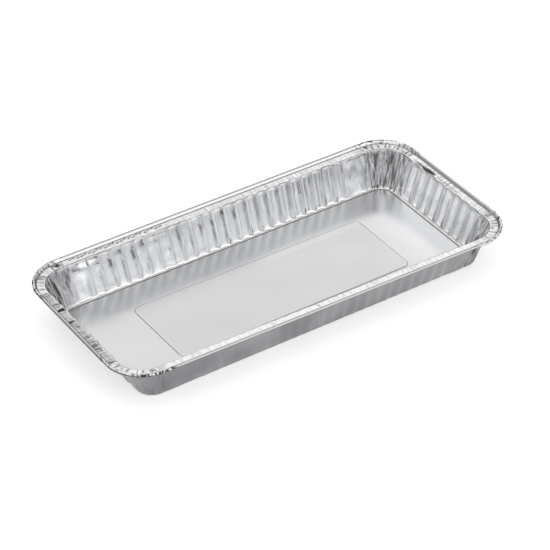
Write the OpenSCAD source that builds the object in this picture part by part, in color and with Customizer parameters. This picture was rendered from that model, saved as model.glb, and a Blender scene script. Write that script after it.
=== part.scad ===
// Foil drip pan: one sheet of aluminium foil pressed into a long, shallow tray.
// The sheet is a run of rings from the middle of the floor out to the rolled edge.
// Each ring is made once for the upper face of the foil and once for the lower face.

/* [Pan] */
// Length over the rolled edge, along X
pan_l = 340; // [300:5:420]
// Width over the rolled edge, along Y
pan_w = 161; // [140:1:240]
// Height from the table to the top of the rolled edge
pan_h = 34.3; // [24:0.1:60]
// Corner radius of the rolled edge, seen from above
corner_r = 31; // [27:0.5:44]
// Thickness of the foil
foil = 0.12; // [0.1:0.01:0.25]

/* [Rim] */
// Width of the rim, from the outside of the rolled edge to the top of the wall
rim_w = 10.2; // [8:0.1:13]
// Diameter of the rolled edge
bead_d = 2.7; // [2:0.1:3.4]
// Gap between the rolled edge and the crease where the flat flange begins
crease_gap = 0.3; // [0.1:0.05:0.8]
// Depth of that crease below the top of the rolled edge
crease_drop = 2.4; // [1.8:0.1:3.2]
// How much lower the flange is at the top of the wall than at the crease
flange_fall = 0.4; // [0:0.1:1.2]

/* [Wall] */
// How far the wall leans out, from the edge of the floor to its top
wall_run = 10.2; // [6:0.1:13]
// How much further the two end walls lean out than the side walls
end_lean = 2.5; // [0:0.1:5]
// Radius where the floor turns up into the wall
foot_r = 2.2; // [1:0.1:4]
// Radius where the wall turns out into the flange
lip_r = 1.1; // [0.5:0.1:2]
// Width of one flute, before a whole number of them is fitted along a side
flute_pitch = 10; // [7:0.5:16]
// Depth of a flute, from its ridge to its hollow
flute_depth = 1.7; // [0.6:0.1:2.6]
// Smooth stretch between a corner and the first flute of a long side
plain_long = 23; // [8:0.5:30]
// Smooth stretch between a corner and the first flute of a short side
plain_short = 8.3; // [3:0.1:14]

/* [Corners] */
// Gathers in the foil at each corner
corner_folds = 12; // [6:1:14]
// Depth of the deepest gather in a corner of the wall
fold_depth = 0.6; // [0.2:0.05:1]
// Height of the creases that run out over the flange at a corner
crimp_h = 0.24; // [0.1:0.02:0.4]

/* [Floor panel] */
// Distance from the end of the floor to the raised panel
panel_gap_x = 45; // [20:0.1:70]
// Distance from the side of the floor to the raised panel
panel_gap_y = 26.1; // [12:0.1:36]
// Corner radius of the raised panel
panel_r = 6; // [3:0.5:12]
// Height of the raised panel above the floor
panel_h = 0.8; // [0.3:0.1:2]
// Width of the sloping step round the panel
panel_step = 1; // [0.6:0.1:2]

/* [Hidden] */
// Stations per flute, and steps in one corner of the panel
FLUTE_STEPS = 4;
PANEL_STEPS = 3;
// Angles round the section of the rolled edge, from its inner side over its top
BEAD_FIRST = 180;
BEAD_LAST = -135;
BEAD_STEP = 45;
// Share of a flute's depth by which the smooth stretches bulge
PLAIN_BULGE = 0.35;
// Share of the flutes and gathers at the foot, the ends of the wall and the lip
FOOT_SHARE = 0.5;
END_SHARE = 0.85;
LIP_SHARE = 0.4;

bead_r = bead_d / 2;
core_x = pan_l / 2 - corner_r;
core_y = pan_w / 2 - corner_r;
crease_in = bead_d + crease_gap;
crease_z = pan_h - crease_drop;
lip_z = crease_z - flange_fall;
floor_in = rim_w + wall_run;
lean = atan2(wall_run, lip_z - foil);
turn = 90 - lean;
foot_out = floor_in - foot_r * sin(turn);
foot_top = foil + foot_r * (1 - cos(turn));
lip_out = rim_w + lip_r * (1 - sin(lean));
lip_foot = lip_z - lip_r;
panel_core_x = pan_l / 2 - floor_in - end_lean - panel_gap_x - panel_r;
panel_core_y = pan_w / 2 - floor_in - panel_gap_y - panel_r;
corner_steps = 2 * corner_folds;

// Side q runs anticlockwise: 0 is the +X end, 1 the +Y side, 2 the -X end, 3 the -Y side
function side_len(q) = 2 * (q % 2 == 0 ? core_y : core_x);
function plain(q) = q % 2 == 0 ? plain_short : plain_long;
function fluted(q) = side_len(q) - 2 * plain(q);
function flutes(q) = floor(fluted(q) / flute_pitch);
function pitch(q) = fluted(q) / flutes(q);
function corner_at(q) = [(q == 0 || q == 3 ? 1 : -1) * core_x, (q < 2 ? 1 : -1) * core_y];

// Where each cell of a side starts: the smooth stretch, the flutes, the other smooth stretch
function knots(q) = [0, for (k = [0:flutes(q)]) plain(q) + k * pitch(q), side_len(q)];

// Outward swing of the wall inside one cell, as a share of the flute depth: an arch per flute
// with a ridge at each end, and a low bulge along the smooth stretches
function swing(cell, last, f) =
    cell == 0 ? PLAIN_BULGE * sin(180 * f) - f / 2 :
    cell == last ? PLAIN_BULGE * sin(180 * f) - (1 - f) / 2 :
    sin(180 * f) - 1 / 2;

// Uneven gathers: outward and inward by turns, each with its own depth
function gather(q, k) = k == 0 ? 0 : (k % 2 == 0 ? -1 : 1) * (0.7 + 0.3 * sin(97 * k + 53 * q)) / 2;

// A station is the point that its corner arc or side is measured from, the direction that
// faces outward there, and its flute and gather
function side_stations(q) =
    let (k = knots(q), last = len(k) - 2, from = corner_at((q + 3) % 4), way = 90 * q + 90)
    [for (c = [0:last], j = [0:FLUTE_STEPS - 1])
        let (f = j / FLUTE_STEPS, u = k[c] + f * (k[c + 1] - k[c]))
        [from.x + u * cos(way), from.y + u * sin(way), 90 * q, swing(c, last, f), 0]];
function corner_stations(q) =
    [for (k = [0:corner_steps - 1])
        [corner_at(q).x, corner_at(q).y, 90 * q + 90 * k / corner_steps, 0, gather(q, k)]];

stations = [for (q = [0:3]) each concat(side_stations(q), corner_stations(q))];

// Four rings of stations, each a part of the one before: all, one per flute, the few that
// the rolled edge needs, and the corners of the panel
side_count = [for (q = [0:3]) (flutes(q) + 2) * FLUTE_STEPS];
side_start = [for (q = 0, s = 0; q < 4; s = s + side_count[q] + corner_steps, q = q + 1) s];
corner_start = [for (q = [0:3]) side_start[q] + side_count[q]];
all_ring = [for (i = [0:len(stations) - 1]) i];
flute_ring = [for (q = [0:3]) each concat(
    [for (c = [0:flutes(q) + 1]) side_start[q] + c * FLUTE_STEPS],
    [for (k = [0:corner_steps - 1]) corner_start[q] + k])];
edge_ring = [for (q = [0:3]) each concat([side_start[q]],
    [for (k = [0:2:corner_steps - 1]) corner_start[q] + k])];
panel_ring = [for (q = [0:3]) each concat([side_start[q]],
    [for (k = [0:PANEL_STEPS - 1]) corner_start[q] + floor(k * corner_steps / PANEL_STEPS)])];

// The section of the upper face, from the panel outward. Each row is its ring, whether it
// follows the panel, its place along the section, its height, and its share of the flutes,
// the gathers and the flange creases. Places run outward from the rolled edge, so they are
// below zero, and on the panel they run outward from its foot.
rows = concat(
    [
        [panel_ring, true, -panel_step, foil + panel_h, 0, 0, 0],
        [panel_ring, true, 0, foil, 0, 0, 0],
        [flute_ring, false, -floor_in, foil, 0, 0, 0],
        [all_ring, false, foot_r * sin(turn / 2) - floor_in, foil + foot_r * (1 - cos(turn / 2)),
            FOOT_SHARE, FOOT_SHARE / 2, 0],
        [all_ring, false, -foot_out, foot_top, END_SHARE, FOOT_SHARE, 0],
        [all_ring, false, -(foot_out + lip_out) / 2, (foot_top + lip_foot) / 2, 1, 1, 0],
        [all_ring, false, -lip_out, lip_foot, END_SHARE, END_SHARE, 0],
        [all_ring, false, -rim_w, lip_z, LIP_SHARE, LIP_SHARE, 1],
        [flute_ring, false, -crease_in, crease_z, 0, 0, 1]
    ],
    [for (a = [BEAD_FIRST:-BEAD_STEP:BEAD_LAST])
        [edge_ring, false, bead_r * (cos(a) - 1), pan_h + bead_r * (sin(a) - 1), 0, 0, 0]]);
last_row = len(rows) - 1;

// Direction of the section from row i to the next, and the step to the foil's lower face
function heading(i) =
    i < 0 || rows[i][1] != rows[i + 1][1] ? [1, 0] :
    let (d = [rows[i + 1][2] - rows[i][2], rows[i + 1][3] - rows[i][3]]) d / norm(d);
function underside(i) =
    let (a = heading(i - 1), b = i == last_row ? a : heading(i), m = [a.y + b.y, -a.x - b.x])
    foil * m / (1 + a * b);

// One point of a row: out from its corner or side by the row's place and the wall's swing.
// The end walls lean out further, so the lower a row is, the shorter it is along X.
function spot(row, s, shift) =
    let (short = 1 - end_lean / core_x * max(0, 1 - row[3] / lip_z),
        core = row[1] ? [sign(s[0]) * panel_core_x, sign(s[1]) * panel_core_y] : [short * s[0], s[1]],
        reach = (row[1] ? panel_r : corner_r) + row[2] + shift.x
            + row[4] * flute_depth * s[3] + row[5] * fold_depth * s[4])
    [core.x + reach * cos(s[2]), core.y + reach * sin(s[2]), row[3] + shift.y + row[6] * crimp_h * s[4]];

function skin(lower) =
    concat([[0, 0, panel_h + (lower ? 0 : foil)]],
        [for (i = [0:last_row], k = rows[i][0])
            spot(rows[i], stations[k], lower ? underside(i) : [0, 0])]);

// Where each row starts in the list of one skin's points, after its middle point
row_start = [for (i = 0, s = 1; i <= last_row; s = s + len(rows[i][0]), i = i + 1) s];
skin_size = row_start[last_row] + len(rows[last_row][0]);

function facet(a, b, c, flip) = flip ? [a, c, b] : [a, b, c];

// Triangles between a fine ring and a coarse ring made of some of the same stations
function band(fine, f0, coarse, c0, flip) =
    let (n = len(fine), m = len(coarse), at = [for (v = coarse) search(v, fine)[0]])
    [for (j = [0:m - 1])
        let (a = at[j], b = j == m - 1 ? n : at[j + 1], mid = a + ceil((b - a) / 2),
            c = c0 + j, d = c0 + (j + 1) % m)
        each concat(
            [for (i = [a:1:mid - 1]) facet(f0 + i, f0 + (i + 1) % n, c, flip)],
            [facet(f0 + mid % n, d, c, flip)],
            [for (i = [mid:1:b - 1]) facet(f0 + i, f0 + (i + 1) % n, d, flip)])];

// Triangles from an inner row to an outer one, whichever of them is finer
function joined(inner, i0, outer, o0, lower) =
    len(outer) >= len(inner) ? band(outer, o0, inner, i0, !lower)
        : band(inner, i0, outer, o0, lower);

function skin_facets(base, lower) =
    let (first = rows[0][0], n = len(first))
    concat(
        [for (k = [0:n - 1])
            facet(base, base + row_start[0] + k, base + row_start[0] + (k + 1) % n, !lower)],
        [for (i = [0:last_row - 1])
            each joined(rows[i][0], base + row_start[i], rows[i + 1][0],
                base + row_start[i + 1], lower)]);

module foil_pan() {
    hem = rows[last_row][0];
    color("silver")
        polyhedron(
            points = concat(skin(false), skin(true)),
            faces = concat(
                skin_facets(0, false),
                skin_facets(skin_size, true),
                joined(hem, row_start[last_row], hem, skin_size + row_start[last_row], false)),
            convexity = 10);
}

foil_pan();
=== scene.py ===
"""Looks of the foil drip pan: one sheet of aluminium foil pressed into a long, shallow tray.

The sheet is drawn as four pieces that meet in its own creases: the floor with its raised
panel, the fluted wall, the flange, and the rolled edge. Sizes are in millimetres, as in the
part's source, and turn into metres when a mesh is made. Painted shade goes into the crease
attribute of the mesh, from 0 for bright foil to 1 for the darkest painted shade; it also
holds painted dark flecks of reflection.
"""

import logging
from dataclasses import dataclass, field
from enum import Enum

import bpy
import numpy as np
from mathutils import Matrix

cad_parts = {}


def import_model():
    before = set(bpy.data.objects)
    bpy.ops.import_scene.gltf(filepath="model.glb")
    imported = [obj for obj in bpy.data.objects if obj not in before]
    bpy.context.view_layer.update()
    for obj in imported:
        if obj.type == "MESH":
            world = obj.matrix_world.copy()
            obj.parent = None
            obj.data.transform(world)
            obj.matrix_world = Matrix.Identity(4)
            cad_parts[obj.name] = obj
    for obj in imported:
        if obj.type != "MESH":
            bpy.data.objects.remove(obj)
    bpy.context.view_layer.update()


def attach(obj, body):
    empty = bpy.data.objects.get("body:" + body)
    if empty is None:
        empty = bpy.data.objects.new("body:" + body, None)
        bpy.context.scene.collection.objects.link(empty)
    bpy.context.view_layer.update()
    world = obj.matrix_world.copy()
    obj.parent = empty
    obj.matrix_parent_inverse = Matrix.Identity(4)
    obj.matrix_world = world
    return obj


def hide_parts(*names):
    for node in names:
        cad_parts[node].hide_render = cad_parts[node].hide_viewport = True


logging.basicConfig(level=logging.INFO, format="%(message)s")
log = logging.getLogger("foil_pan")

MM = 0.001
BODY = "root"
NODE = "foil_pan"


class Corner(Enum):
    """The four corners of the pan, numbered on from the sides that they follow."""

    BACK_RIGHT = 4
    BACK_LEFT = 5
    FRONT_LEFT = 6
    FRONT_RIGHT = 7


class Side(Enum):
    """The four sides of the pan, anticlockwise from the +X end."""

    RIGHT = 0
    BACK = 1
    LEFT = 2
    FRONT = 3

    @property
    def is_end(self) -> bool:
        """Says whether the side is one of the two short ends."""
        return self.value % 2 == 0


@dataclass(frozen=True)
class PanSizes:
    """Sizes of the pan, in millimetres, nearly all the same as in the part's source.

    The crease lies further in than the source's, the panel reaches further to the front, and
    the source's rise of the panel is shared here between the floor and the panel.
    """

    length: float = 340.0
    width: float = 161.0
    height: float = 34.3
    corner: float = 31.0
    foil: float = 0.12
    rim: float = 10.2
    bead: float = 2.7
    crease_gap: float = 0.75
    crease_drop: float = 2.4
    flange_fall: float = 0.4
    wall_run: float = 10.2
    end_lean: float = 2.5
    foot: float = 2.2
    lip: float = 1.1
    flute_depth: float = 1.7
    plain_long: float = 23.0
    plain_short: float = 8.3
    flutes_long: int = 23
    flutes_short: int = 8
    panel_gap_x: float = 45.0
    panel_gap_y: float = 26.1
    panel_front: float = 2.4
    panel_corner: float = 6.0
    panel_rise: float = 0.5
    panel_step: float = 1.0
    floor_rise: float = 0.4

    @property
    def core(self) -> tuple[float, float]:
        """Returns the centre of the +X +Y corner."""
        return self.length / 2 - self.corner, self.width / 2 - self.corner

    @property
    def crease_z(self) -> float:
        """Returns the height of the crease between the flange and the rolled edge."""
        return self.height - self.crease_drop

    @property
    def lip_z(self) -> float:
        """Returns the height of the flange at the top of the wall."""
        return self.crease_z - self.flange_fall

    @property
    def floor_in(self) -> float:
        """Returns how far the edge of the floor lies inside the rolled edge."""
        return self.rim + self.wall_run

    @property
    def lean(self) -> float:
        """Returns the angle of the wall from upright, in radians."""
        return float(np.arctan2(self.wall_run, self.lip_z - self.foil))


def ease(f: np.ndarray) -> np.ndarray:
    """Makes an S curve of a share: three times its square less twice its cube.

    Args:
        f: Shares, cut to the range from 0 to 1.

    Returns:
        The eased shares.
    """
    f = np.clip(f, 0.0, 1.0)
    return f * f * (3.0 - 2.0 * f)


def crumple(turn: np.ndarray, across: np.ndarray, wide: float, tall: float, seed: int,
            keen: bool = True) -> np.ndarray:
    """Gives crumpled foil: random heights from -1 to 1 on rows of knots.

    Each row of knots goes round the pan and is shifted by a random phase. Between two knots,
    and between two rows, the height runs in a straight line, which leaves flat facets with
    sharp creases, or in an S curve, which leaves soft waves.

    Args:
        turn: Place round the pan, from 0 to 1.
        across: Place across the rows, in millimetres, not below zero.
        wide: Spacing of the knots, as a share of the way round.
        tall: Spacing of the rows, in millimetres.
        seed: Seed of the random heights.
        keen: True for facets and False for waves.

    Returns:
        Heights in the common shape of turn and across.
    """
    rng = np.random.default_rng(seed)
    knots = max(4, int(round(1.0 / wide)))
    rows = int(np.ceil(float(np.max(across)) / tall)) + 2
    heights = rng.uniform(-1.0, 1.0, (rows, knots))
    phase = rng.uniform(0.0, 1.0, rows)
    place = across / tall
    low = np.floor(place).astype(int)
    between = place - low if keen else ease(place - low)

    def on_row(row: np.ndarray) -> np.ndarray:
        """Reads one row of knots at every point."""
        a = turn * knots + phase[row]
        i = np.floor(a).astype(int)
        f = a - i if keen else ease(a - i)
        return heights[row, i % knots] * (1 - f) + heights[row, (i + 1) % knots] * f

    return on_row(low) * (1 - between) + on_row(low + 1) * between


def side_line(side: Side, x: float, y: float) -> tuple[np.ndarray, np.ndarray, float]:
    """Gives one side of a rectangle round the middle of the pan.

    Args:
        side: The side.
        x: Half the length of the rectangle.
        y: Half its width.

    Returns:
        Where the side starts, its direction anticlockwise, and its length.
    """
    q = side.value
    way = np.radians(90 * q + 90)
    start = np.array([(1 if q in (0, 1) else -1) * x, (1 if q in (1, 2) else -1) * y])
    return start, np.array([np.cos(way), np.sin(way)]), 2 * (y if side.is_end else x)


def bell(away: np.ndarray, half_width: float) -> np.ndarray:
    """Makes a bell curve: e to the power of less the square of away over the half width."""
    return np.exp(-(away / half_width) ** 2)


def cut(height: np.ndarray, gain: float, start: float) -> np.ndarray:
    """Makes a share of a height: the gain times it, less the start, cut to 0 to 1."""
    return np.clip(height * gain - start, 0, 1)


@dataclass(frozen=True)
class Density:
    """How many stations an outline has in each of its stretches."""

    per_flute: int
    per_plain_end: int
    per_plain_side: int
    per_corner: int


@dataclass
class Outline:
    """The stations round the pan: where each is measured from, and which way it faces."""

    sizes: PanSizes
    core: np.ndarray
    facing: np.ndarray
    swing: np.ndarray
    side: np.ndarray
    gather: np.ndarray
    plain: np.ndarray

    @classmethod
    def walk(cls, sizes: PanSizes, density: Density) -> "Outline":
        """Walks round the pan and sets the stations, crowded towards the ridges.

        A side is a smooth stretch, its flutes and another smooth stretch. Each ridge is
        shifted a little at random and has a random strength. It is less by turns on the right
        wall, falls towards the left of the back wall, and is low on the front wall, where it
        grows to the right. Between two ridges the wall swings out: up a straight flank, along
        a nearly flat valley, and down again, less one half, times the strength. On the front
        wall it is a cosine wave. Along a smooth stretch it is a low bulge, half a sine wave,
        that runs into the first ridge.

        Args:
            sizes: Sizes of the pan.
            density: How many stations each stretch has.

        Returns:
            The outline.
        """
        rng = np.random.default_rng(11)
        shift = {Side.RIGHT: -1.7, Side.BACK: 1.9, Side.LEFT: 0.0, Side.FRONT: 0.0}
        core, facing, swing, number, gather, smooth = [], [], [], [], [], []
        for side in Side:
            q = side.value
            start, along, long = side_line(side, *sizes.core)
            plain = sizes.plain_short if side.is_end else sizes.plain_long
            count = sizes.flutes_short if side.is_end else sizes.flutes_long
            ridge = plain + np.arange(count + 1) * (long - 2 * plain) / count
            ridge = ridge + shift[side] + rng.uniform(-0.4, 0.4, count + 1)
            knot = np.concatenate([[0.0], ridge, [long]])
            strength = rng.uniform(0.8, 1.12, count + 3)
            if side is Side.RIGHT:
                strength *= rng.uniform(0.6, 1.0, count + 3)
            if side is Side.BACK:
                strength *= 1.12 - 0.54 * ease((knot - 90.0) / 90.0)
            if side is Side.FRONT:
                strength *= 0.22 + 0.30 * ease((knot - 90.0) / 90.0)
            per_corner = density.per_corner
            per_plain = density.per_plain_end if side.is_end else density.per_plain_side
            for c in range(count + 2):
                steps = density.per_flute if 0 < c <= count else per_plain
                even = np.arange(steps) / steps
                crowd = 0.4 * even + 0.6 * (1 - np.cos(np.pi * even)) / 2
                f = crowd if 0 < c <= count else even
                u = knot[c] + f * (knot[c + 1] - knot[c])
                power = strength[c] * (1 - f) + strength[c + 1] * f
                if c == 0:
                    swing.append(0.35 * np.sin(np.pi * f) - f / 2 * power)
                elif c == count + 1:
                    swing.append(0.35 * np.sin(np.pi * f) - (1 - f) / 2 * power)
                elif side is Side.FRONT:
                    swing.append(-0.5 * power * np.cos(2 * np.pi * f))
                else:
                    flank = np.clip(np.minimum(f, 1 - f) / 0.27, 0, 1)
                    swing.append(power * (0.8 * flank + 0.2 * np.sin(np.pi * f) - 0.5))
                core.append(start + np.outer(u, along))
                facing.append(np.full(steps, np.radians(90.0 * q)))
                number.append(np.full(steps, q))
                smooth.append(even if c in (0, count + 1) else np.zeros(steps))
                reach = np.minimum(u, long - u)
                gather.append(1 - ease(reach / (9.0 if side.is_end else 11.0)))
            core.append(np.repeat((start + long * along)[None], per_corner, 0))
            facing.append(np.radians(90 * q + 90 * np.arange(per_corner) / per_corner))
            swing.append(np.zeros(per_corner))
            number.append(np.full(per_corner, q + len(Side)))
            smooth.append(np.zeros(per_corner))
            gather.append(np.ones(per_corner))
        return cls(sizes, *(np.concatenate(part) for part in
                            (core, facing, swing, number, gather, smooth)))

    @classmethod
    def even(cls, sizes: PanSizes, spacing: float) -> "Outline":
        """Sets plain stations at an even spacing, with no flutes.

        Args:
            sizes: Sizes of the pan.
            spacing: Distance between stations on the rolled edge, in millimetres.

        Returns:
            The outline.
        """
        core, facing, gather = [], [], []
        for side in Side:
            q = side.value
            start, along, long = side_line(side, *sizes.core)
            steps = int(round(long / spacing))
            u = np.arange(steps) * long / steps
            core.append(start + np.outer(u, along))
            facing.append(np.full(steps, np.radians(90.0 * q)))
            gather.append(1 - ease(np.minimum(u, long - u) / 14.0))
            bend = int(round(sizes.corner * np.pi / 2 / spacing))
            core.append(np.repeat((start + long * along)[None], bend, 0))
            facing.append(np.radians(90 * q + 90 * np.arange(bend) / bend))
            gather.append(np.ones(bend))
        core, facing = np.concatenate(core), np.concatenate(facing)
        nothing = np.zeros(len(facing))
        return cls(sizes, core, facing, nothing, nothing, np.concatenate(gather), nothing)

    def pick(self, other: float, values: dict[Enum, float]) -> np.ndarray:
        """Gives each station the value of its side or corner, or else the other one."""
        table = np.full(len(Side) + len(Corner), other)
        for stretch, value in values.items():
            table[stretch.value] = value
        return table[self.side]

    def quarter(self, x: int, y: int) -> np.ndarray:
        """Says which stations are in the quarter of the pan with these signs of X and Y."""
        return (self.core[:, 0] * x > 0) & (self.core[:, 1] * y > 0)

    def ring(self, place: np.ndarray, height: np.ndarray) -> np.ndarray:
        """Places points: out from each station's core by the corner radius and the place.

        The lower a point is, the shorter its core is along X, which gives the end walls
        their wider lean.

        Args:
            place: Distance outside the rolled edge, below zero inside it.
            height: Height above the table.

        Returns:
            Points in the shape of place and height, with a last axis of three.
        """
        s = self.sizes
        place, height = np.broadcast_arrays(place, height)
        short = 1 - s.end_lean / s.core[0] * np.clip(1 - height / s.lip_z, 0, 1)
        reach = s.corner + place
        return np.stack([short * self.core[:, 0] + reach * np.cos(self.facing),
                         self.core[:, 1] + reach * np.sin(self.facing), height], axis=-1)

    def run(self, place: float) -> np.ndarray:
        """Measures the way round the pan at one place.

        Args:
            place: Distance outside the rolled edge.

        Returns:
            The way round up to each station, and the whole of it last.
        """
        points = self.ring(np.float64(place), np.full(len(self.facing), self.sizes.lip_z))
        step = np.linalg.norm(np.roll(points, -1, 0) - points, axis=1)
        return np.concatenate([[0.0], np.cumsum(step)])


@dataclass(frozen=True)
class Mark:
    """A dent, slit or small pucker in the foil, along a line seen from above, darkened with
    painted shade.
    """

    start: tuple[float, float]
    end: tuple[float, float]
    half_width: float
    depth: float
    # How much painted shade darkens the middle of the mark.
    dark: float

    def press(self, points: np.ndarray) -> tuple[np.ndarray, np.ndarray]:
        """Presses the mark into the foil.

        Its share is the bell curve of the distance from the line over the half width, and it
        fades to less than half over the fifth of the line at each end.

        Args:
            points: Points of the foil, with a last axis of three.

        Returns:
            How far each point goes down, and how much painted shade darkens it.
        """
        a, b = np.array(self.start), np.array(self.end)
        along = b - a
        t = (points[..., :2] - a) @ along / (along @ along)
        near = a + np.clip(t, 0, 1)[..., None] * along
        away = np.linalg.norm(points[..., :2] - near, axis=-1)
        share = bell(away, self.half_width) * (0.45 + 0.55 * ease(np.minimum(t, 1 - t) / 0.2))
        return self.depth * share, self.dark * share


@dataclass
class Settled:
    """The pan as it stands: slightly out of true, as a handled foil pan is.

    The rim's four corners are pushed a little, and so is the floor. Between the corners the
    push runs evenly along both sides, and it grows with the height. The result is scaled and
    shifted as a whole so that it keeps to the box of the part.
    """

    sizes: PanSizes
    back_left: tuple[float, float, float] = (0.41, 0.06, 0.17)
    back_right: tuple[float, float, float] = (-0.2, -0.1, -0.16)
    front_right: tuple[float, float, float] = (0.22, -1.63, -0.40)
    front_left: tuple[float, float, float] = (-1.92, 3.14, 0.24)
    floor_push: float = 1.6
    scale: float = 0.9885
    shift: tuple[float, float, float] = (0.86, 0.8, 0.003)

    def push(self, points: np.ndarray) -> np.ndarray:
        """Moves points of the true pan to where they are on the settled one.

        Args:
            points: Points in millimetres, with a last axis of three.

        Returns:
            The moved points.
        """
        s = self.sizes
        u = (points[..., 0] / s.length + 0.5)[..., None]
        v = (points[..., 1] / s.width + 0.5)[..., None]
        h = np.clip(points[..., 2] / s.lip_z, 0, 1)[..., None]
        corners = [np.array(c) for c in (self.back_left, self.back_right,
                                         self.front_right, self.front_left)]
        rim = (corners[0] * (1 - u) * v + corners[1] * u * v
               + corners[2] * u * (1 - v) + corners[3] * (1 - u) * (1 - v))
        moved = points + h * rim + (1 - h) * np.array([self.floor_push, 0, 0])
        return self.fit(moved)

    def fit(self, points: np.ndarray) -> np.ndarray:
        """Scales and shifts points as a whole. The camera goes through it too."""
        return self.scale * (points + np.array(self.shift))


class NodeSheet:
    """The nodes of a material or a world, to which nodes are added already joined."""

    def __init__(self, tree: bpy.types.NodeTree) -> None:
        """Takes the tree and empties it."""
        self.tree = tree
        tree.nodes.clear()

    def add(self, kind: str, output: str | None, inputs: dict[str | int, object] | None = None,
            **options: str) -> bpy.types.NodeSocket | None:
        """Adds a node with its options, sets its inputs and joins sockets to them.

        Args:
            kind: Type of the node.
            output: Name of the output that is wanted, if any.
            inputs: A value or another node's output for each input that isn't left as it is.
            options: The node's own options.

        Returns:
            The output.
        """
        node = self.tree.nodes.new(kind)
        for name, value in options.items():
            setattr(node, name, value)
        for name, value in (inputs or {}).items():
            if isinstance(value, bpy.types.NodeSocket):
                self.tree.links.new(value, node.inputs[name])
            else:
                node.inputs[name].default_value = value
        return node.outputs[output] if output else None

    def noise(self, place: bpy.types.NodeSocket, scale: float,
              detail: float) -> bpy.types.NodeSocket:
        """Adds clouds of noise at a scale."""
        return self.add("ShaderNodeTexNoise", "Fac",
                        {"Vector": place, "Scale": scale, "Detail": detail})

    def mix(self, share: bpy.types.NodeSocket, a: object, b: object) -> bpy.types.NodeSocket:
        """Mixes two colours by a share, the second where it is 1."""
        return self.add("ShaderNodeMix", "Result", {"Factor": share, "A": a, "B": b},
                        data_type="RGBA")


@dataclass(frozen=True)
class PressedFoil:
    """Finish of the foil: bright rolled aluminium, with painted shade in creases and on the
    rougher outer face.
    """

    name: str = "pressed_foil"
    bright: tuple[float, float, float] = (0.895, 0.90, 0.91)
    # The colour that the painted shade of the crease attribute darkens the foil towards.
    painted_shade: tuple[float, float, float] = (0.04, 0.04, 0.042)
    # The outer face's two tones: the foil's rougher side, darkened well below aluminium with
    # painted shade.
    matt_shaded: tuple[float, float, float] = (0.26, 0.263, 0.27)
    matt_shaded_light: tuple[float, float, float] = (0.37, 0.373, 0.38)
    smooth: float = 0.08
    rough: float = 0.15
    grain: float = 0.04
    wrinkle: float = 0.03
    matt_rougher: float = 0.10

    def make(self) -> bpy.types.Material:
        """Builds the material.

        The colour runs from bright towards the painted shade colour with the crease attribute,
        which holds painted shade. The outside attribute swaps bright for the outer face, whose
        colours are painted shade stained between two tones in clouds, and makes it a tenth
        rougher. The roughness wanders between its two values in soft clouds.
        The bump is the sum of fine rolling lines, drawn out along X, and of soft wrinkles.

        Returns:
            The material.
        """
        mat = bpy.data.materials.new(self.name)
        mat.use_nodes = True
        sheet = NodeSheet(mat.node_tree)
        place = sheet.add("ShaderNodeTexCoord", "Object")
        crease = sheet.add("ShaderNodeAttribute", "Fac", attribute_name="crease")
        outside = sheet.add("ShaderNodeAttribute", "Fac", attribute_name="outside")

        stain = sheet.noise(place, 26.0, 3.0)
        spread = sheet.add("ShaderNodeMapRange", "Result",
                           {"Value": stain, "From Min": 0.36, "From Max": 0.66})
        # The outer face's colour is painted shade, stained at random between its two tones.
        matt_shaded = sheet.mix(spread, (*self.matt_shaded, 1), (*self.matt_shaded_light, 1))
        face = sheet.mix(outside, (*self.bright, 1), matt_shaded)
        # Painted shade: the crease attribute mixes the colour towards the painted shade colour.
        colour = sheet.mix(crease, face, (*self.painted_shade, 1))

        cloud = sheet.noise(place, 38.0, 3.0)
        rough = sheet.add("ShaderNodeMapRange", "Result",
                          {"Value": cloud, "From Min": 0.3, "From Max": 0.7,
                           "To Min": self.smooth, "To Max": self.rough})
        duller = sheet.add("ShaderNodeMath", "Value", {0: outside, 1: self.matt_rougher, 2: rough},
                           operation="MULTIPLY_ADD")

        drawn = sheet.add("ShaderNodeMapping", "Vector",
                          {"Vector": place, "Scale": (60.0, 2600.0, 900.0)})
        lines = sheet.noise(drawn, 1.0, 2.0)
        grain = sheet.add("ShaderNodeBump", "Normal",
                          {"Height": lines, "Strength": self.grain, "Distance": 0.0002})
        soft = sheet.noise(place, 150.0, 2.0)
        wrinkle = sheet.add("ShaderNodeBump", "Normal",
                            {"Height": soft, "Strength": self.wrinkle, "Distance": 0.0006,
                             "Normal": grain})
        metal = sheet.add("ShaderNodeBsdfPrincipled", "BSDF",
                          {"Base Color": colour, "Metallic": 1.0, "Roughness": duller,
                           "Normal": wrinkle})
        sheet.add("ShaderNodeOutputMaterial", None, {"Surface": metal})
        return mat


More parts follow.
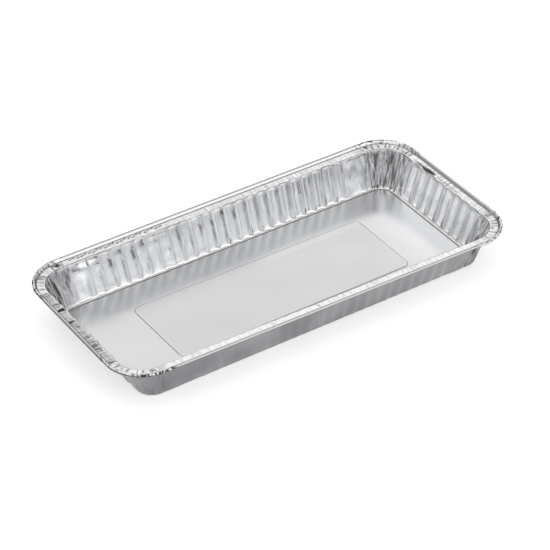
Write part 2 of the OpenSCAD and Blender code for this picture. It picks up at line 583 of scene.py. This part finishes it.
@dataclass
class FoilSkin:
    """Turns a surface of foil into a closed mesh with an upper and a lower face."""

    name: str
    points: np.ndarray
    quads: np.ndarray
    hems: list[np.ndarray]
    crease: np.ndarray
    foil: float

    def normals(self) -> np.ndarray:
        """Averages the normals of the quads round each point, by their areas.

        Returns:
            One unit normal for each point.
        """
        p = self.points[self.quads]
        n = np.cross(p[:, 2] - p[:, 0], p[:, 3] - p[:, 1])
        total = np.zeros_like(self.points)
        for k in range(4):
            np.add.at(total, self.quads[:, k], n)
        return total / np.maximum(np.linalg.norm(total, axis=1, keepdims=True), 1e-12)

    def build(self) -> bpy.types.Object:
        """Makes the object: the upper face, the lower one a foil's thickness under it, and hems.

        Returns:
            The object, at the origin, its place in its mesh.
        """
        count = len(self.points)
        lower = self.points - self.foil * self.normals()
        faces = [self.quads, self.quads[:, ::-1] + count]
        for hem in self.hems:
            after = np.roll(hem, -1)
            faces.append(np.stack([after, hem, hem + count, after + count], axis=1))
        faces = np.concatenate(faces)
        mesh = bpy.data.meshes.new(self.name)
        vertices = np.concatenate([self.points, lower]) * MM
        mesh.vertices.add(len(vertices))
        mesh.vertices.foreach_set("co", vertices.astype(np.float32).ravel())
        mesh.loops.add(faces.size)
        mesh.loops.foreach_set("vertex_index", faces.astype(np.int32).ravel())
        mesh.polygons.add(len(faces))
        mesh.polygons.foreach_set("loop_start", np.arange(0, faces.size, 4, dtype=np.int32))
        mesh.update(calc_edges=True)
        mesh.validate()
        mesh.polygons.foreach_set("use_smooth", np.ones(len(mesh.polygons), bool))
        # The crease attribute carries the painted shade, alike on both faces of the foil.
        layer = mesh.attributes.new("crease", "FLOAT", "POINT")
        layer.data.foreach_set("value", np.tile(self.crease, 2).astype(np.float32))
        layer = mesh.attributes.new("outside", "FLOAT", "POINT")
        layer.data.foreach_set("value", np.repeat([0.0, 1.0], count).astype(np.float32))
        obj = bpy.data.objects.new(self.name, mesh)
        bpy.context.scene.collection.objects.link(obj)
        log.info("%s: %d faces of four corners", self.name, len(faces))
        return obj


def ring_quads(rows: int, count: int, first: int = 0) -> np.ndarray:
    """Joins closed rings of points, one row after the other.

    Args:
        rows: Number of rings, from the inside out.
        count: Points in each ring, anticlockwise.
        first: Index of the first point.

    Returns:
        Indices of the quads, facing up where the rows lie flat.
    """
    r, m = np.meshgrid(np.arange(rows - 1), np.arange(count), indexing="ij")
    a, b = first + r * count + m, first + r * count + (m + 1) % count
    return np.stack([a, a + count, b + count, b], axis=-1).reshape(-1, 4)


@dataclass
class FlutedWall:
    """The wall with its flutes and gathered corners, and the flange above it.

    They are two pieces that meet where the lip turns flat: the wall needs many rows, and the
    flange many stations.
    """

    sizes: PanSizes
    settled: Settled
    finish: bpy.types.Material
    wall: Density = Density(17, 14, 32, 120)
    flange: Density = Density(40, 32, 92, 160)
    lip_steps: int = 7
    marks: list[Mark] = field(default_factory=list)

    def section(self) -> tuple[np.ndarray, np.ndarray, np.ndarray, np.ndarray, int]:
        """Draws the section from the edge of the floor to the crease at the rolled edge.

        The foot is an arc from flat to the lean of the wall, the wall is straight, the lip is
        an arc back to flat, and the flange rises a little to the crease.

        Returns:
            Place, height, share of the flutes, and way along the section, one for each row,
            and the row where the lip turns flat.
        """
        s = self.sizes
        turn = np.pi / 2 - s.lean
        a = np.linspace(0, turn, 6)
        foot_p = s.foot * np.sin(a) - s.floor_in
        foot_z = s.foil + s.foot * (1 - np.cos(a))
        b = np.linspace(0, turn, self.lip_steps)
        lip_p = -s.rim - 0.15 + 0.75 * s.lip * (1 - np.cos(b))
        lip_z = s.lip_z - s.lip + s.lip * np.sin(b) / np.sin(turn)
        mid = np.linspace(0, 1, 14)[1:-1]
        wall_p = foot_p[-1] + mid * (lip_p[0] - foot_p[-1])
        wall_z = foot_z[-1] + mid * (lip_z[0] - foot_z[-1])
        flat = np.array([0.8, 1.5, 2.2, 3.0, 3.8, 4.6, 5.3, 5.9, 6.3])
        flat_p = -s.rim + flat
        rise = (flat_p - lip_p[-1]) / (-s.bead - s.crease_gap - lip_p[-1])
        flat_z = lip_z[-1] + np.clip(rise, 0, 1) * (s.crease_z - lip_z[-1])
        end_p, end_z = [-s.bead - s.crease_gap], [s.crease_z]
        place = np.concatenate([foot_p, wall_p, lip_p, flat_p, end_p])
        height = np.concatenate([foot_z, wall_z, lip_z, flat_z, end_z])
        share = np.concatenate([
            np.array([0, 0.03, 0.12, 0.27, 0.46, 0.66]),
            0.66 + 0.34 * ease(mid / 0.09) - 0.14 * ease((mid - 0.86) / 0.14),
            np.linspace(0.86, 0.62, self.lip_steps),
            0.62 * (1 - ease(flat / 3.6)), [0.0]])
        step = np.hypot(np.diff(place), np.diff(height))
        way = np.concatenate([[0.0], np.cumsum(step)])
        return place, height, share, way, len(foot_p) + len(wall_p) + self.lip_steps - 1

    def surface(self, density: Density) -> tuple[np.ndarray, np.ndarray]:
        """Works out the upper face of the wall and the flange.

        The section goes round the outline. Along it the wall swings out with the flutes, and
        crumpled foil is added to its place: sharp folds in the corners, soft waves between
        them, buckles on the smooth stretches and one dent at the left of the back wall. The
        flange takes crimps in its corners and finer wrinkles between them in its height.

        Painted shade darkens the wall in the corners, more in the back left one, and in the
        hollows of their folds, along its foot, in teeth at the foot of the far right corner, and
        at the foot of each ridge. The lip has a patchy line of painted shade, the crease at the
        rolled edge a thin one, and the flange painted shade in its crimps, in streaks across it
        and, on its left side, an even grey.

        Args:
            density: How close the stations stand.

        Returns:
            Points in rows, and how much each is darkened.
        """
        s = self.sizes
        line = Outline.walk(s, density)
        *rows, lip = self.section()
        place, height, share, way = (x[:, None] for x in rows)
        at_wall, at_rim = line.run(-15.0), line.run(-6.0)
        turn_w, turn_r = at_wall[:-1] / at_wall[-1], at_rim[:-1] / at_rim[-1]
        long_w, long_r = at_wall[-1], at_rim[-1]
        on_wall = ease(way / 3.0) * (1 - ease((way - 31.5) / 3.5))
        corner = line.gather[None, :]
        folds = (0.40 * crumple(turn_w, way, 3.4 / long_w, 14.0, 21)
                 + 0.36 * crumple(turn_w, way, 1.5 / long_w, 8.0, 22)
                 + 0.70 * crumple(turn_w, way, 1.1 / long_w, 6.0, 23))
        folds = folds * np.where(line.quarter(-1, -1), 0.4, 1.0)
        soft = 0.50 * crumple(turn_w, way, 6.0 / long_w, 9.0, 24, keen=False)
        faint = 0.06 * crumple(turn_w, way, 2.2 / long_w, 5.0, 25)
        plain = np.clip(1 - np.abs(line.plain - 0.5) * 2, 0, 1)
        buckled = 1.15 * ease(plain / 0.5) * crumple(turn_w, way, 8.5 / long_w, 13.0, 26)
        buckled = buckled * line.pick(1.0, {Side.LEFT: 0.25, Side.FRONT: 0.25})
        on_back = line.side == Side.BACK.value
        uneven = np.where(on_back, 1.0 - 0.8 * ease((line.core[:, 0] + 30) / 60), 0.25)
        uneven = np.maximum(uneven, ease(plain))
        out = on_wall * (corner * folds + (1 - corner) * (soft * uneven + buckled + faint))
        dent = on_back * bell(line.core[:, 0] + 116, 8)
        out = out + 0.7 * dent * ease((way - 27) / 5)
        out = out + share * s.flute_depth * line.swing
        on_rim = ease((way - 34.0) / 1.5) * (1 - 0.55 * ease((way - 40.0) / 2.0))
        crimps = (0.24 * crumple(turn_r, way, 2.2 / long_r, 7.0, 31)
                  + 0.18 * crumple(turn_r, way, 1.1 / long_r, 3.0, 32))
        fine = (0.11 * crumple(turn_r, way, 1.1 / long_r, 9.0, 33)
                + 0.15 * crumple(turn_r, way, 2.2 / long_r, 11.0, 35)
                + 0.12 * crumple(turn_r, way, 6.0 / long_r, 9.0, 34, keen=False))
        rough = line.pick(1.0, {Side.LEFT: 1.4, Side.BACK: 0.6})
        up = on_rim * (corner * crimps + (1 - corner) * rough * fine)
        points = line.ring(place + out, height + up)
        # Painted shade in the corners, more in the back left quarter and in the hollows of the
        # folds, then a line of it along the foot.
        deep = np.where(line.quarter(-1, 1), 0.42, 0.18)
        dark = corner * on_wall * (deep + 0.60 * cut(-folds, 2.4, 0.15))
        dark = dark + 0.9 * bell(way, 0.45)
        row = np.zeros((1, 1))
        # Painted shade: dark teeth at the foot of the far right corner, and at the foot of each
        # ridge.
        teeth = line.pick(0.0, {Corner.BACK_RIGHT: 2.2})
        teeth = teeth * bell(line.facing - np.radians(72), np.radians(13)) * bell(way - 2.9, 1.0)
        dark = dark + teeth * cut(crumple(turn_w, row, 1.0 / long_w, 9.0, 27), 2.4, -0.6)
        tip = cut(-line.swing, 2.2, 0.35) * (1 - corner)
        dark = dark + 0.5 * tip * bell(way - 3.6, 1.6)
        # Painted shade: a patchy line at the lip, dark crimp hollows, and a thin line at the
        # crease.
        patchy = 0.65 + 0.35 * crumple(turn_r, row, 5.0 / long_r, 9.0, 36, keen=False)
        dark = dark + patchy * bell(way - way[lip] + 0.15, 0.40)
        dark = dark + 0.5 * corner * on_rim * cut(-crimps, 6, 0.5)
        dark = dark + (1.0 - 0.6 * np.clip(np.cos(line.facing), 0, 1)) * bell(way - way[-1], 0.25)
        # Painted shade: streaks across the flange, and an even grey on its left side, a little on
        # its front and more in its corners.
        streak = crumple(turn_r, way, 1.0 / long_r, 9.0, 37)
        grey = line.pick(0.30, {Side.LEFT: 0.4, Side.BACK: 0.15, Side.FRONT: 0.15,
                                Corner.BACK_LEFT: 0.15, Corner.FRONT_RIGHT: 0.15})
        dark = dark + on_rim * (grey + 0.3 * corner) * cut(-streak, 2.4, 0.3)
        base = line.pick(0.0, {Side.LEFT: 0.42, Side.FRONT: 0.08})
        dark = dark + on_rim * (base + 0.14 * corner)
        # Each mark presses a dent into the flange and darkens it with painted shade.
        for mark in self.marks:
            down, shade = mark.press(points)
            points[..., 2] -= down * (height > s.lip_z - 0.6)
            dark = dark + shade * (height > s.lip_z - 0.6)
        return points, np.clip(dark, 0, 1)

    def piece(self, name: str, density: Density, rows: slice) -> bpy.types.Object:
        """Builds the rows of one piece as a closed skin and dresses it.

        Args:
            name: Name of the piece.
            density: How close its stations stand.
            rows: Its rows of the section.

        Returns:
            The piece.
        """
        points, dark = (x[rows] for x in self.surface(density))
        count, last = points.shape[1], len(points) - 1
        hems = [np.arange(count)[::-1], np.arange(count) + last * count]
        skin = FoilSkin(name, self.settled.push(points).reshape(-1, 3),
                        ring_quads(last + 1, count), hems, dark.ravel(), self.sizes.foil)
        return dress(skin.build(), self.finish)

    def build(self) -> list[bpy.types.Object]:
        """Builds the wall and the flange."""
        lip = self.section()[-1]
        return [self.piece("fluted_wall", self.wall, slice(0, lip + 1)),
                self.piece("flange", self.flange, slice(lip, None))]


@dataclass
class RolledEdge:
    """The edge of the foil, rolled outward into a ribbed bead."""

    sizes: PanSizes
    settled: Settled
    finish: bpy.types.Material
    spacing: float = 0.37
    rib_pitch: float = 1.48
    rib_depth: float = 0.085

    def surface(self) -> tuple[np.ndarray, np.ndarray]:
        """Works out the outer face of the bead.

        The section climbs from the crease, goes round over the top and outside, and ends under
        the flange. Ribs are a sine wave along the edge, strongest on the outer half; at the
        corners crumpled foil takes their place.

        Painted shade darkens the crease in a thin line. The band over the top is a little grey
        with painted shade, the hollows of the ribs darker, and starts further round on the back
        side and later on the right. The outer face is darkened with painted shade, most so at the
        left, and so are the hollows of the corner crimps; the two corners nearest to and farthest
        from the camera have dark flecks of painted reflection.

        Returns:
            Points in rows, and how much each is darkened.
        """
        s = self.sizes
        line = Outline.even(s, self.spacing)
        r = s.bead / 2 - 0.09
        angle = np.radians(np.linspace(172, -140, 13))[:, None]
        place = r * np.cos(angle) - s.bead / 2
        height = s.height - s.bead / 2 + r * np.sin(angle)
        climb = np.array([[0.0], [0.25]])
        start = -s.bead - s.crease_gap
        place = np.concatenate([start + climb * (place[0] - start), place])
        height = np.concatenate([s.crease_z + climb * (height[0] - s.crease_z), height])
        angle = np.concatenate([np.radians([[200], [193]]), angle])
        run = line.run(0.0)
        turn, long = run[:-1] / run[-1], run[-1]
        outer = ease((100 - np.degrees(angle)) / 60) * ease((np.degrees(angle) + 80) / 60)
        corner = line.gather[None, :]
        ribs = self.rib_depth * np.sin(2 * np.pi * np.round(long / self.rib_pitch) * turn)
        round_it = np.radians(200) - angle
        crimps = (0.20 * crumple(turn, round_it * 1.3, 1.7 / long, 1.6, 41)
                  + 0.10 * crumple(turn, round_it * 1.3, 0.9 / long, 0.9, 42))
        body = (np.arange(len(angle)) > 0)[:, None]
        out = body * (ribs * (0.12 + 0.88 * outer) * (1 - 0.6 * corner) + corner * crimps * 0.9)
        place = place + np.minimum(out, 0.09) * np.cos(angle)
        height = height + np.minimum(out, 0.09) * np.sin(angle)
        points = line.ring(place, height)
        degrees = np.degrees(angle)
        right = np.clip(np.cos(line.facing), 0, 1)
        # Painted shade: a thin line at the crease, fainter on the right.
        dark = (1.0 - 0.75 * right) * bell(round_it * 1.3, 0.15)
        # Painted shade: a grey band over the top of the bead, darker in the hollows of the ribs.
        hatch = 0.5 - 0.5 * ribs / self.rib_depth
        shade = 0.12 + 0.40 * hatch * (1 - corner)
        back = np.clip(np.sin(line.facing), 0, 1)
        shade = shade + 0.06 * back
        dark = dark + ease((140 + 38 * back - 66 * right - degrees) / 20) * shade
        # Painted shade on the outer face of the bead, most at the left.
        left = np.clip(-np.cos(line.facing), 0, 1)
        dark = dark + (0.6 + 0.6 * left) * ease((12 + 20 * left - degrees) / 25)
        # Painted reflection: dark flecks at the nearest and farthest corners; painted shade in the
        # hollows of the crimps.
        near = corner * line.quarter(-1, -1) * ease((np.degrees(line.facing) - 222) / 20)
        glint = crumple(turn, round_it * 1.3, 1.3 / long, 2.0, 44)
        dark = dark + near * ease((80 - degrees) / 20) * cut(glint, 4, 0.3)
        far = corner * line.quarter(1, 1)
        dark = dark + 0.8 * far * ease((130 - degrees) / 20) * cut(glint, 3, 0.1)
        dark = dark + 0.8 * corner * body * cut(-crimps, 8, 0.1)
        return points, np.clip(dark, 0, 1)

    def build(self) -> list[bpy.types.Object]:
        """Builds the bead as one closed piece and dresses it."""
        points, dark = self.surface()
        rows, count = points.shape[:2]
        quads = ring_quads(rows, count)
        hems = [np.arange(count)[::-1], np.arange(count) + (rows - 1) * count]
        skin = FoilSkin("rolled_edge", self.settled.push(points).reshape(-1, 3), quads, hems,
                        dark.ravel(), self.sizes.foil)
        return [dress(skin.build(), self.finish)]


@dataclass
class PanelFloor:
    """The floor of the pan with its bare raised panel."""

    sizes: PanSizes
    settled: Settled
    finish: bpy.types.Material
    per_end: int = 44
    per_side: int = 128
    per_corner: int = 28

    def rings(self) -> np.ndarray:
        """Sets the rings of the floor, from its edge to a plain rectangle in the panel.

        A ring is a rounded rectangle, with the same stations on each. The inner rings turn
        into the rectangle by a straight blend.

        Returns:
            Points in the plane: rings, stations, two.
        """
        s = self.sizes
        short = 1 - s.end_lean / s.core[0] * (1 - s.foil / s.lip_z)
        edge_x, edge_y = s.core[0] * short, s.core[1]
        edge_r = s.corner - s.floor_in
        foot_r = s.panel_corner
        panel_x, panel_y = self.panel_core()
        shift = np.array([0.0, -s.panel_front / 2])
        out = []
        for inset in (0, 0.25, 0.5, 0.75, 1.0, 1.3, 1.7, 2.3, 4, 6.5):
            out.append(self.rounded(edge_x, edge_y, edge_r - inset))
        near, far = out[-1], self.rounded(panel_x, panel_y, foot_r + 2.4) + shift
        out += [near + f * (far - near) for f in np.linspace(0, 1, 13)[1:]]
        for inset in (-1.2, -0.5, -0.1, 0.15, 0.4, 0.65, 0.9, 1.2, 1.6, 2.2, 3.2):
            out.append(self.rounded(panel_x, panel_y, foot_r - inset) + shift)
        inner = self.boxed(panel_x + 0.5, panel_y + 0.5) + shift
        near = out[-1]
        out += [near + f * (inner - near) for f in np.linspace(0, 1, 4)[1:]]
        return np.stack(out)

    def panel_core(self) -> tuple[float, float]:
        """Returns how far the panel's corner centres lie from its middle, along X and Y."""
        s = self.sizes
        x = s.core[0] + s.corner - s.floor_in - s.end_lean - s.panel_gap_x - s.panel_corner
        y = s.core[1] + s.corner - s.floor_in - s.panel_gap_y - s.panel_corner
        return x, y + s.panel_front / 2

    def rounded(self, x: float, y: float, radius: float) -> np.ndarray:
        """Returns a rounded rectangle from its corner centre and its corner radius."""
        parts = []
        for side in Side:
            steps = self.per_end if side.is_end else self.per_side
            start, along, long = side_line(side, x, y)
            a = np.radians(90 * side.value)
            u = np.arange(steps) * long / steps
            face = radius * np.array([np.cos(a), np.sin(a)])
            parts.append(start + np.outer(u, along) + face)
            b = a + np.radians(90) * np.arange(self.per_corner) / self.per_corner
            corner = start + long * along
            parts.append(corner + radius * np.stack([np.cos(b), np.sin(b)], axis=1))
        return np.concatenate(parts)

    def boxed(self, x: float, y: float) -> np.ndarray:
        """Returns a plain rectangle whose corners are the middles of the rounded corners."""
        half = self.per_corner // 2
        parts = []
        for side in Side:
            steps = (self.per_end if side.is_end else self.per_side) + 2 * half
            start, along, long = side_line(side, x, y)
            parts.append(start + np.outer(np.arange(steps) * long / steps, along))
        return np.roll(np.concatenate(parts), -half, axis=0)

    def relief(self, plane: np.ndarray) -> tuple[np.ndarray, np.ndarray]:
        """Gives the height of the floor at points of the plane.

        The floor stands a little above the foot of the wall and turns down to it over its last
        millimetre. The panel rises on an S curve over its step. Long soft waves, sums of sines
        of X and Y, lie over both, and fade towards the edge.

        The foil is greyed with painted shade, less so at the right end and behind the panel and a
        little more on the panel. Its edge is darkened with painted shade, and so is the line round
        the panel, with a painted highlight just inside it.

        Args:
            plane: Points in the plane, with a last axis of two.

        Returns:
            Heights, and how much each point is darkened.
        """
        s = self.sizes
        short = 1 - s.end_lean / s.core[0] * (1 - s.foil / s.lip_z)
        edge = box_distance(plane, s.core[0] * short, s.core[1], s.corner - s.floor_in)
        middle = np.array([0.0, -s.panel_front / 2])
        panel = box_distance(plane - middle, *self.panel_core(), s.panel_corner)
        inside = -edge
        height = s.foil + s.floor_rise * ease((inside - 0.1) / 1.1)
        height = height + s.panel_rise * ease(-panel / s.panel_step)
        x, y = plane[..., 0], plane[..., 1]
        wave = (0.06 * np.sin(x / 17 + 1.3 * np.sin(y / 21)) * np.sin(y / 15 + 0.6)
                + 0.03 * np.sin(x / 8.3 + y / 29) + 0.025 * np.sin(y / 9.1 - x / 37))
        height = height + wave * ease(inside / 14)
        # Painted shade: the floor greyed, less at the right end and behind the panel, more on the
        # panel.
        dark = 0.18 - 0.12 * ease((x - 90) / 45) + 0.06 * ease(-panel / 0.5)
        dark = dark - 0.10 * ease((x + 10) / 40) * ease((y - 24) / 6) * ease((110 - x) / 20)
        # Painted shade at the edge and on the line round the panel; a painted highlight just
        # inside that line.
        dark = dark + 1 - ease((inside - 0.6) / 0.6)
        dark = dark + 0.45 * bell(panel + 0.1, 0.3)
        dark = dark - 0.20 * bell(panel + 0.95, 0.4)
        return height, np.clip(dark, 0, 1)

    def build(self) -> list[bpy.types.Object]:
        """Builds the floor as one closed piece and dresses it."""
        rings = self.rings()
        rows, count = rings.shape[:2]
        half = self.per_corner // 2
        wide, deep = self.per_side + 2 * half, self.per_end + 2 * half
        inner = rings[-1]
        xs = np.linspace(inner[:, 0].min(), inner[:, 0].max(), wide + 1)
        ys = np.linspace(inner[:, 1].min(), inner[:, 1].max(), deep + 1)
        gx, gy = np.meshgrid(xs[1:-1], ys[1:-1], indexing="ij")
        core = np.stack([gx, gy], axis=-1).reshape(-1, 2)
        plane = np.concatenate([rings.reshape(-1, 2), core])
        index = np.zeros((wide + 1, deep + 1), int)
        index[1:-1, 1:-1] = len(plane) - len(core) + np.arange(len(core)).reshape(gx.shape)
        last = (rows - 1) * count
        walk = last + (np.arange(count) - half) % count
        index[wide, :deep] = walk[:deep]
        index[wide - np.arange(wide), deep] = walk[deep:deep + wide]
        index[0, deep - np.arange(deep)] = walk[deep + wide:2 * deep + wide]
        index[np.arange(wide), 0] = walk[2 * deep + wide:]
        grid = np.stack([index[:-1, :-1], index[1:, :-1], index[1:, 1:], index[:-1, 1:]],
                        axis=-1).reshape(-1, 4)
        quads = np.concatenate([ring_quads(rows, count)[:, ::-1], grid])
        height, dark = self.relief(plane)
        points = np.concatenate([plane, height[:, None]], axis=1)
        skin = FoilSkin("panel_floor", self.settled.push(points), quads, [np.arange(count)],
                        dark, self.sizes.foil)
        return [dress(skin.build(), self.finish)]


def box_distance(plane: np.ndarray, x: float, y: float, radius: float) -> np.ndarray:
    """Measures how far points lie outside a rounded rectangle.

    Args:
        plane: Points, with a last axis of two.
        x: Half the length between the corner centres.
        y: Half the width between the corner centres.
        radius: Corner radius.

    Returns:
        Distances, below zero inside.
    """
    d = np.abs(plane) - np.array([x, y])
    outside = np.linalg.norm(np.maximum(d, 0), axis=-1)
    return outside + np.minimum(np.max(d, axis=-1), 0) - radius


def dress(obj: bpy.types.Object, finish: bpy.types.Material) -> bpy.types.Object:
    """Gives a piece its finish, its body, and its place in the part.

    Args:
        obj: The piece.
        finish: Its material.

    Returns:
        The piece.
    """
    obj.data.materials.append(finish)
    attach(obj, BODY)
    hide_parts(NODE)
    return obj


@dataclass(frozen=True)
class Glow:
    """A soft patch in the sky: full inside one angle, in degrees, and gone outside another.

    A strength below zero takes light away, as a dark card does.
    """

    toward: tuple[float, float, float]
    full: float
    gone: float
    strength: float


@dataclass
class Studio:
    """The pale floor, the soft light and the camera."""

    settled: Settled
    eye: tuple[float, float, float] = (-886.6, -1315.95, 1182.29)
    yaw: float = 34.095
    pitch: float = 36.422
    focal: float = 173.23
    base: float = 0.12
    darkest: float = 0.05
    glows: tuple[Glow, ...] = (
        Glow((0.0, 0.0, 1.0), 50, 80, 0.55),
        Glow((0.0, 0.0, 1.0), 8, 34, 0.25),
        Glow((0.49, 0.79, 0.37), 8, 20, 0.45),
        Glow((-0.06, 0.64, 0.77), 10, 30, 0.25),
        Glow((-0.56, 0.68, 0.46), 17, 26, -0.34),
        Glow((0.12, 0.84, 0.53), 8, 17, 0.28),
        Glow((0.709, 0.497, 0.50), 8, 18, 0.28),
        Glow((0.587, 0.70, 0.407), 6, 12, 0.07),
        Glow((0.372, 0.834, 0.407), 6, 12, 0.12),
        Glow((0.45, 0.60, 0.66), 8, 16, 0.12),
        Glow((0.447, -0.189, 0.874), 10, 24, -0.15),
        Glow((-0.80, -0.42, 0.42), 12, 26, 0.25),
        Glow((-0.72, 0.67, 0.21), 8, 22, 0.40),
        Glow((0.35, -0.87, 0.32), 14, 34, 1.00),
        Glow((0.92, -0.25, 0.31), 10, 28, 0.65),
        Glow((-0.50, -0.86, 0.08), 14, 34, 0.75),
        Glow((-0.76, 0.07, 0.64), 15, 45, 0.35),
    )
    floor_lift: float = 0.50
    floor_colour: tuple[float, float, float] = (0.88, 0.88, 0.885)

    def camera(self) -> bpy.types.Object:
        """Sets the camera at the photograph's viewing angle.

        Yaw turns the line of sight from +Y towards +X and pitch turns it down. The camera goes
        through the same fit as the pan.

        Returns:
            The camera.
        """
        data = bpy.data.cameras.new("view")
        data.sensor_width = 36.0
        data.lens = self.focal
        data.clip_start, data.clip_end = 0.05, 20.0
        cam = bpy.data.objects.new("view", data)
        a, b = np.radians(self.yaw), np.radians(self.pitch)
        look = np.array([np.sin(a) * np.cos(b), np.cos(a) * np.cos(b), -np.sin(b)])
        right = np.array([np.cos(a), -np.sin(a), 0.0])
        up = np.cross(right, look)
        place = self.settled.fit(np.array(self.eye)) * MM
        turn = np.stack([right, up, -look], axis=1)
        matrix = np.eye(4)
        matrix[:3, :3], matrix[:3, 3] = turn, place
        cam.matrix_world = Matrix(matrix.tolist())
        bpy.context.scene.collection.objects.link(cam)
        bpy.context.scene.camera = cam
        return cam

    def floor(self) -> bpy.types.Object:
        """Lays the pale floor under the pan."""
        mesh = bpy.data.meshes.new("studio_floor")
        e = 4.0
        mesh.from_pydata([(-e, -e, 0), (e, -e, 0), (e, e, 0), (-e, e, 0)], [], [(0, 1, 2, 3)])
        obj = bpy.data.objects.new("studio_floor", mesh)
        bpy.context.scene.collection.objects.link(obj)
        mat = bpy.data.materials.new("pale_floor")
        mat.use_nodes = True
        sheet = NodeSheet(mat.node_tree)
        seen = None
        for ray in ("Is Camera Ray", "Is Glossy Ray", "Is Transmission Ray"):
            socket = sheet.add("ShaderNodeLightPath", ray)
            seen = socket if seen is None else sheet.add(
                "ShaderNodeMath", "Value", {0: seen, 1: socket}, operation="MAXIMUM")
        lift = sheet.add("ShaderNodeMath", "Value", {0: seen, 1: self.floor_lift},
                         operation="MULTIPLY")
        chalk = sheet.add("ShaderNodeBsdfDiffuse", "BSDF", {"Color": (*self.floor_colour, 1)})
        glow = sheet.add("ShaderNodeEmission", "Emission",
                         {"Color": (1.0, 1.0, 1.0, 1), "Strength": lift})
        both = sheet.add("ShaderNodeAddShader", "Shader", {0: chalk, 1: glow})
        sheet.add("ShaderNodeOutputMaterial", None, {"Surface": both})
        mesh.materials.append(mat)
        return obj

    def sky(self) -> None:
        """Lights the scene all round: the base and the soft patches, never below the darkest."""
        world = bpy.data.worlds.new("studio")
        bpy.context.scene.world = world
        world.use_nodes = True
        sheet = NodeSheet(world.node_tree)
        place = sheet.add("ShaderNodeTexCoord", "Generated")
        total = self.base
        for glow in self.glows:
            toward = np.array(glow.toward)
            dot = sheet.add("ShaderNodeVectorMath", "Value",
                            {0: place, 1: toward / np.linalg.norm(toward)},
                            operation="DOT_PRODUCT")
            patch = sheet.add("ShaderNodeMapRange", "Result",
                              {"Value": dot, "From Min": float(np.cos(np.radians(glow.gone))),
                               "From Max": float(np.cos(np.radians(glow.full))),
                               "To Max": glow.strength}, interpolation_type="SMOOTHSTEP")
            total = sheet.add("ShaderNodeMath", "Value", {0: patch, 1: total}, operation="ADD")
        least = sheet.add("ShaderNodeMath", "Value", {0: total, 1: self.darkest},
                          operation="MAXIMUM")
        seen = sheet.add("ShaderNodeLightPath", "Is Camera Ray")
        white = (1.0, 1.0, 1.0, 1)
        light = sheet.add("ShaderNodeBackground", "Background",
                          {"Color": white, "Strength": least})
        plain = sheet.add("ShaderNodeBackground", "Background", {"Color": white})
        mix = sheet.add("ShaderNodeMixShader", "Shader", {"Fac": seen, 1: light, 2: plain})
        sheet.add("ShaderNodeOutputWorld", None, {"Surface": mix})

    def build(self) -> None:
        """Sets up the camera, the floor and the sky."""
        self.camera()
        self.floor()
        self.sky()
        bpy.context.scene.view_settings.view_transform = "Standard"


# Marks of handling on the flange: slits and a row of puckers on the right, creases that fan
# out from one spot on the left, and a row of small puckers along the left half of the back.
# Each is darkened with painted shade.
RIM_MARKS = [
    Mark((162.1, 38.6), (162.6, 15.6), 0.9, 0.4, 1.1),
    Mark((162.3, 27.0), (162.7, 15.8), 1.5, 0.5, 1.5),
    Mark((161.6, 54.6), (161.6, 53.4), 0.9, 0.4, 0.8),
    *[Mark((161.2, y), (163.4, y - 1.6), 0.45, 0.2, 0.6)
      for y in (12.0, 9.4, 6.9, 4.1, 1.8, -0.9, -3.6, -6.1, -9.0, -11.6)],
    Mark((-166.4, 24.6), (-159.9, 26.8), 0.7, 0.3, 1.2),
    Mark((-166.4, 24.6), (-159.9, 25.2), 0.7, 0.3, 1.2),
    Mark((-166.4, 24.6), (-160.1, 23.4), 0.6, 0.3, 1.2),
    Mark((-166.6, 8.6), (-164.6, 6.9), 0.8, 0.3, 0.6),
    Mark((-141.0, 74.4), (-137.0, 74.9), 0.8, 0.1, 1.0),
    *[Mark((x - 1.4, y), (x + 1.4, y + 0.9), 0.55, 0.1, 1.0)
      for x, y in zip(np.arange(-128.0, -48.0, 3.4),
                      74.6 + 0.8 * np.sin(1.9 * np.arange(24)))],
]


def main() -> None:
    """Builds the pan, piece by piece, and the studio round it."""
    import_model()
    sizes = PanSizes()
    settled = Settled(sizes)
    foil = PressedFoil().make()
    even_foil = PressedFoil("pressed_foil_floor", smooth=0.19, rough=0.26).make()
    for maker in (PanelFloor(sizes, settled, even_foil),
                  FlutedWall(sizes, settled, foil, marks=RIM_MARKS),
                  RolledEdge(sizes, settled, foil)):
        for piece in maker.build():
            log.info("made %s", piece.name)
    Studio(settled).build()


if __name__ == "__main__":
    main()
